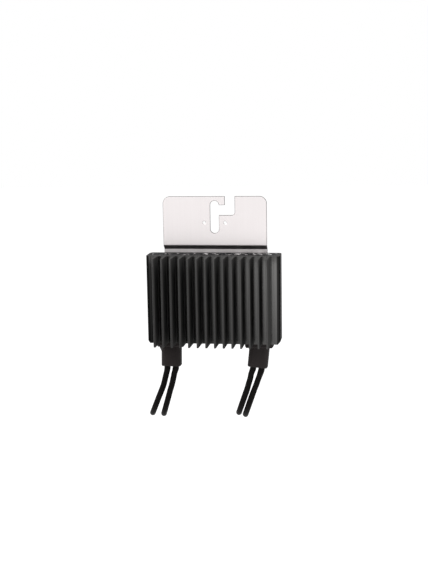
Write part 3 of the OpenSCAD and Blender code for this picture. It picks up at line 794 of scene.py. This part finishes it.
class OPTIMIZER_OT_resin(bpy.types.Operator):
    """Pours the rippled surface of the resin over its plain block"""

    bl_idname = "optimizer.resin"
    bl_label = "Resin"

    def execute(self, context):
        colours = context.scene.optimizer.finish
        low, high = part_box("potting_resin")
        material = resin_paint(colours.resin, high.y)
        dress(["potting_resin"], material)
        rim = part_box("heat_sink_housing")[1].z
        room = rim - high.z
        middle = (low + high) / 2
        bm = bmesh.new()
        bmesh.ops.create_grid(bm, x_segments=240, y_segments=40, size=0.5)
        bmesh.ops.scale(bm, vec=(high.x - low.x, high.y - low.y, 1), verts=bm.verts)
        bmesh.ops.translate(bm, vec=(middle.x, middle.y, high.z), verts=bm.verts)
        upper = bmesh.ops.extrude_face_region(bm, geom=bm.faces[:])
        for vert in upper["geom"]:
            if isinstance(vert, bmesh.types.BMVert):
                vert.co.z += room * self.share(vert.co, low, high)
        bmesh.ops.recalc_face_normals(bm, faces=bm.faces)
        for face in bm.faces:
            face.smooth = True
        new_piece("resin_surface", new_mesh("resin_surface", bm, material))
        return {"FINISHED"}

    def share(self, place, low, high):
        """Share of the room that the set resin takes: a creep up the walls, ripples and lumps at the rear."""
        wall = min(place.x - low.x, high.x - place.x, place.y - low.y, high.y - place.y)
        rear = high.y - place.y
        creep = RESIN_CREEP * math.exp(-wall / CREEP_REACH)
        ripple = RESIN_RIPPLE * self.waves(place, width=7 * MM, depth=5 * MM, layer=0.0)
        lump = smooth_step(self.waves(place, width=4 * MM, depth=7 * MM, layer=4.0) / LUMP_NOISE)
        lump *= smooth_step((LUMPS_END - rear) / (LUMPS_END - LUMPS_FULL))
        level = RESIN_PLAIN + creep + ripple
        return min(RESIN_MOST, max(RESIN_LEAST, level + lump * (RESIN_LUMP - level)))

    def waves(self, place, width, depth, layer):
        """Smooth noise with waves of one width along X and one depth along Y."""
        return noise.noise(Vector((place.x / width, place.y / depth, layer)))


class OPTIMIZER_OT_inner_parts(bpy.types.Operator):
    """Finishes the pieces inside the resin"""

    bl_idname = "optimizer.inner_parts"
    bl_label = "Inner parts"

    def execute(self, context):
        for name, (nodes, colour, rough) in INNER_FINISHES.items():
            dress(nodes, inner_paint(name, colour, rough))
        dress(["inductor_windings", "lead_cores"], metal_paint("copper", COPPER, rough=0.3))
        dress(["current_shunt", "terminal_posts"], finish("tinned_contact"))
        dress(["lead_tails"], finish("lead_jacket"))
        return {"FINISHED"}


class OPTIMIZER_OT_stage(bpy.types.Operator):
    """Sets up the floor, the graded card, the lamps and the white surroundings"""

    bl_idname = "optimizer.stage"
    bl_label = "Stage"

    def execute(self, context):
        studio = context.scene.optimizer.studio
        self.floor(studio)
        self.card(studio)
        self.world(context.scene, studio)
        self.lamp("key_lamp", KEY_PLACE, KEY_WIDTH, studio.key_power)
        self.lamp("top_lamp", TOP_PLACE, TOP_WIDTH, studio.top_power)
        context.scene.view_settings.view_transform = "Standard"
        return {"FINISHED"}

    def floor(self, studio):
        bm = bmesh.new()
        bmesh.ops.create_grid(bm, x_segments=1, y_segments=1, size=studio.floor_size / 2)
        bmesh.ops.translate(bm, vec=(0, 0, -studio.floor_drop), verts=bm.verts)
        paint = Paint("floor_white")
        paint.constant("Base Color", (0.85, 0.85, 0.85, 1.0))
        paint.constant("Roughness", 0.9)
        paint.constant("Specular IOR Level", 0.1)
        paint.constant("Emission Strength", 1.0)
        paint.set(Emission_Color=FLOOR_SHOWN * background_rays(paint))
        new_object("floor", new_mesh("floor", bm, paint.material))

    def card(self, studio):
        """A graded card before the fins that only mirrored rays see, darker to the left and below."""
        left, right = CARD_X
        low, high = CARD_Z
        bm = bmesh.new()
        corners = ((left, low), (right, low), (right, high), (left, high))
        bm.faces.new([bm.verts.new((x, CARD_Y, z)) for x, z in corners])
        paint = Paint("graded_card")
        across = paint.along("X", *CARD_RISE_X)
        up = paint.along("Z", *CARD_RISE_Z)
        sideways = CARD_LEFT + (1 - CARD_LEFT) * across * across
        upwards = CARD_BELOW + (1 - CARD_BELOW) * up
        paint.constant("Base Color", (0.0, 0.0, 0.0, 1.0))
        paint.constant("Specular IOR Level", 0.0)
        paint.constant("Emission Strength", studio.card_light)
        paint.set(Emission_Color=sideways * upwards)
        card = new_object("card", new_mesh("card", bm, paint.material))
        card.visible_camera = False
        card.visible_diffuse = False
        card.visible_transmission = False
        card.visible_shadow = False

    def world(self, scene, studio):
        world = bpy.data.worlds.new("studio")
        scene.world = world
        world.use_nodes = True
        graph = Graph(world.node_tree)
        shown = background_rays(graph)
        background = world.node_tree.nodes["Background"]
        background.inputs["Color"].default_value = (1.0, 1.0, 1.0, 1.0)
        graph.feed(background.inputs["Strength"], studio.world_light + (1.0 - studio.world_light) * shown)

    def lamp(self, name, place, width, power):
        light = bpy.data.lights.new(name, "AREA")
        light.shape = "SQUARE"
        light.size = width
        light.energy = power
        lamp = new_object(name, light)
        lamp.visible_camera = False
        back = Vector(place) - Vector(LAMP_TARGET)
        lamp.matrix_world = Matrix.Translation(place) @ back.to_track_quat("Z", "Y").to_matrix().to_4x4()


STEPS = (
    OPTIMIZER_OT_camera,
    OPTIMIZER_OT_input_leads,
    OPTIMIZER_OT_output_leads,
    OPTIMIZER_OT_housing,
    OPTIMIZER_OT_bracket,
    OPTIMIZER_OT_boots,
    OPTIMIZER_OT_connectors,
    OPTIMIZER_OT_resin,
    OPTIMIZER_OT_inner_parts,
    OPTIMIZER_OT_stage,
)


class OPTIMIZER_PT_sidebar(bpy.types.Panel):
    """The pieces of the optimizer in the order they are made"""

    bl_idname = "OPTIMIZER_PT_sidebar"
    bl_label = "Power optimizer"
    bl_space_type = "VIEW_3D"
    bl_region_type = "UI"
    bl_category = "Optimizer"

    def draw(self, context):
        for step in STEPS:
            self.layout.operator(step.bl_idname)


CLASSES = (
    CameraSettings,
    LeadSettings,
    FinishSettings,
    StudioSettings,
    OptimizerSettings,
    *STEPS,
    OPTIMIZER_PT_sidebar,
)


def register():
    for cls in CLASSES:
        bpy.utils.register_class(cls)
    bpy.types.Scene.optimizer = PointerProperty(type=OptimizerSettings)


def unregister():
    del bpy.types.Scene.optimizer
    for cls in reversed(CLASSES):
        bpy.utils.unregister_class(cls)


def main():
    register()
    for step in STEPS:
        group, name = step.bl_idname.split(".")
        getattr(getattr(bpy.ops, group), name)()


if __name__ == "__main__":
    main()
